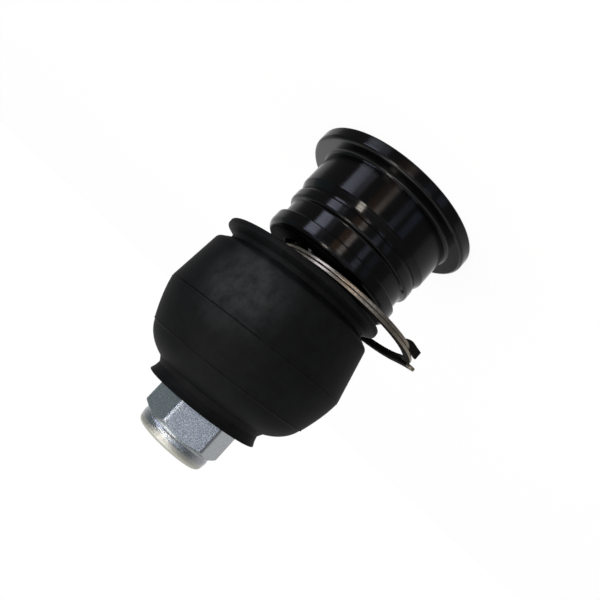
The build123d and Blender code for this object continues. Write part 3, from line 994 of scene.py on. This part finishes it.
nut_piece = spin_nut("zinc_lock_nut")
dress(nut_piece, "stud", zinc_material, "zinc_plate", "lock_nut")


# %% [markdown]
# ## Nut insert and ball stud
# Inside the collar sits a polymer ring, and the end of the threaded stud shows in it.
# The thread is a real one: the radius falls and rises once for each pitch of height,
# and the height it is read at climbs one pitch for each turn. The nylon is dark and soft
# in its shine, and the ground steel is a plain bright grey with faint rings.

# %% Insert
insert_bore, insert_radius = 7.05, 9.55
insert_material, tree, shader = new_finish(
    "dark_nylon", Base_Color=colour("#22252c"), Roughness=0.45)
insert_low, insert_high = node_box("nut_insert")
insert_outline = rounded_outline([
    (insert_bore, insert_low[2], 0.2),
    (insert_radius, insert_low[2], 0.1),
    (insert_radius, insert_high[2], 0.1),
    (insert_bore, insert_high[2], 0.3),
])
insert_piece = spin("insert_ring", insert_outline, segments=128)
dress(insert_piece, "stud", insert_material, "insert_polymer", "nut_insert")

# %% Stud finish
stud_material, tree, shader = new_finish(
    "ground_bright_steel", Base_Color=colour("#a5a6a8"), Roughness=0.3, Metallic=1.0)
stud_rings = lathe_rings(tree, ring_mm=0.35)
stud_bump = add_node(
    tree, "ShaderNodeBump",
    {"Height": stud_rings.outputs["Fac"], "Strength": 0.25, "Distance": 0.00003})
tree.links.new(stud_bump.outputs["Normal"], shader.inputs["Normal"])

# %% Stud measures
ball_radius = 13.5
ball_height = 17.0
ball_flat = 5.2
neck_radius = 6.8
stud_low, stud_high = node_box("ball_stud")
stud_end = stud_high[2]
ball_joint = ball_height + math.sqrt(ball_radius ** 2 - neck_radius ** 2)
neck_top = ball_joint + 8.3
taper_bottom = neck_top + 3.0
taper_top = taper_bottom + 30.0
taper_wide_radius, taper_slim_radius = 8.9, 7.4
relief_radius = 6.0
relief_top = taper_top + 4.0
thread_radius = 7.0
thread_pitch = 1.5
thread_depth = 0.92
point_chamfer = 1.3
centre_hole_radius, centre_hole_depth = 1.6, 1.6
print("stud from", round(stud_low[2], 2), "to", round(stud_end, 2), "mm")

# %% Stud outline
flat_angle = math.asin((ball_height - ball_flat) / ball_radius)
neck_angle = math.asin((ball_joint - ball_height) / ball_radius)
latitude = np.linspace(-flat_angle, neck_angle, 60)
ball_line = np.stack(
    [ball_radius * np.cos(latitude), ball_height + ball_radius * np.sin(latitude)], -1)
shank_line = rounded_outline([
    tuple(ball_line[-1]),
    (neck_radius, neck_top, 3.0),
    (taper_wide_radius, taper_bottom, 1.0),
    (taper_slim_radius, taper_top, 0.5),
    (relief_radius, taper_top + 1.0, 0.4),
    (relief_radius, relief_top - 0.8),
    (thread_radius - thread_depth, relief_top),
], closed=False)
thread_height = np.arange(relief_top, stud_end - 0.9, thread_pitch / 12)
thread_line = np.stack([np.full(len(thread_height), thread_radius), thread_height], -1)
end_line = np.array([
    (thread_radius - point_chamfer, stud_end - 0.05),
    (thread_radius - point_chamfer - 0.2, stud_end),
    (centre_hole_radius + 0.1, stud_end),
    (centre_hole_radius, stud_end - 0.05),
    (0, stud_end - centre_hole_depth)])
stud_line = np.concatenate([[(0, ball_flat)], ball_line, shank_line[1:], thread_line, end_line])
thread_first = len(ball_line) + len(shank_line)
print("stud outline", len(stud_line), "points")


# %% Stud shape
def spin_stud(name, segments=160):
    """Spins the stud's line, cutting a thread where it is marked.

    The thread's depth is a triangle wave of height over pitch minus the turn, with its
    crest and root levelled. The ridge rises from the relief over the first turn, and a
    cone cuts it down at the point.
    """
    around = np.linspace(0, 2 * np.pi, segments, endpoint=False)
    radius = stud_line[:, :1] * np.ones_like(around)
    height = stud_line[:, 1:] * np.ones_like(around)
    phase = (height / thread_pitch - around / (2 * np.pi)) % 1.0
    wave = np.clip(np.abs(phase - 0.5) * 2.6 - 0.15, 0, 1)
    fade_in = np.clip((height - relief_top) / thread_pitch, 0, 1)
    point = np.clip((stud_end - height) / point_chamfer, 0, 1)
    threaded = np.zeros(len(stud_line), bool)
    threaded[thread_first:thread_first + len(thread_line)] = True
    cut = thread_depth * np.maximum(wave, 1 - fade_in)
    limit = thread_radius - point_chamfer * (1 - point)
    radius = np.where(threaded[:, None], np.minimum(thread_radius - cut, limit), radius)
    grid = np.stack([radius * np.sin(around), -radius * np.cos(around), height], -1)
    return close_and_smooth(grid_mesh(name, grid, wrap_rows=False, wrap_columns=True), 40)


stud_piece = spin_stud("threaded_ball_stud")
dress(stud_piece, "stud", stud_material, "stud_steel", "ball_stud")

# %% [markdown]
# ## Sealed pieces
# The seat, the pad, the spring and the closing ring keep the frame's own meshes. They
# are only glimpsed through the housing's mouth, so they need a finish and no new shape.
# Seat and pad are natural acetal, a milky polymer with a soft shine from the mould.

# %% Finishes of the sealed pieces
acetal_material, tree, shader = new_finish(
    "natural_acetal", Base_Color=colour("#e4dfd2"), Roughness=0.4, Subsurface_Weight=0.1)
acetal_marks = lathe_rings(tree, ring_mm=0.5)
acetal_bump = add_node(
    tree, "ShaderNodeBump",
    {"Height": acetal_marks.outputs["Fac"], "Strength": 0.15, "Distance": 0.00003})
tree.links.new(acetal_bump.outputs["Normal"], shader.inputs["Normal"])


def repaint(node_name, material):
    """Puts a material on a frame node in place of the plain one."""
    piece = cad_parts[node_name]
    if not piece.material_slots:
        piece.data.materials.append(material)
    for material_slot in piece.material_slots:
        material_slot.link = "OBJECT"
        material_slot.material = material
    print("repainted", node_name)


# the steel closing ring gets the housing's black coat as painted shade, so the mouth shows dark
for node_name, material in (("ball_seat", acetal_material), ("pressure_pad", acetal_material),
                            ("disc_spring", stud_material), ("closing_ring", housing_material)):
    repaint(node_name, material)

# %% Update the scene
bpy.context.view_layer.update()
